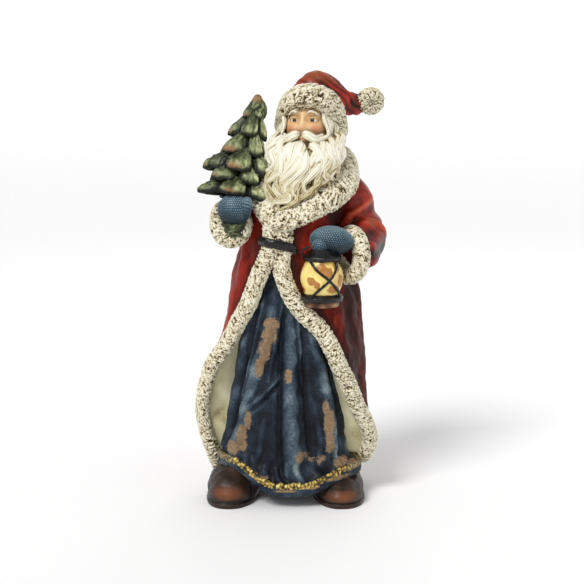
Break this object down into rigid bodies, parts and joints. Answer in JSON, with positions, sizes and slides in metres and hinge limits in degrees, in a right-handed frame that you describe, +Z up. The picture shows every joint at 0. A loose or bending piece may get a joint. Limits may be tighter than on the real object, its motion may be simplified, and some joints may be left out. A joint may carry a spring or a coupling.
{
  "type": "santa figurine",
  "caption": "Standing Santa figurine in a fur-trimmed hat, coat and long gown, holding a fir tree and a storm lantern, cast in one piece to stand on its boots.",
  "frame": {"origin": "on the ground, at the centre of the bounding box seen from above", "axes": "+Z up through the hat, -Y the way the gown faces, +X towards the lantern side"},
  "size_m": [0.1906, 0.1554, 0.4203],
  "materials": {
    "coat_red": "deep red paint, brown glaze in the folds, satin varnish",
    "fur_cream": "cream paint dry-brushed over a dark brown wash",
    "lining_cream": "antiqued cream paint",
    "gown_blue": "slate-blue paint, worn to tan on the ridges",
    "gold_trim": "worn gold paint over blue",
    "flesh": "flesh paint, rosy cheeks",
    "beard_white": "off-white paint over a tan wash",
    "mitten_blue": "blue paint, pale dry-brushing on the knit",
    "tree_green": "dark green paint, pale green and brown dry-brushing",
    "boot_brown": "dark brown paint, worn to tan at the toes",
    "lantern_glass": "yellow paint with brown patches",
    "lantern_iron": "near-black paint",
    "lantern_base": "brown paint",
    "belt_black": "near-black paint"
  },
  "bodies": {
    "root": {"santa_figurine": "coat_red"}
  },
  "joints": []
}
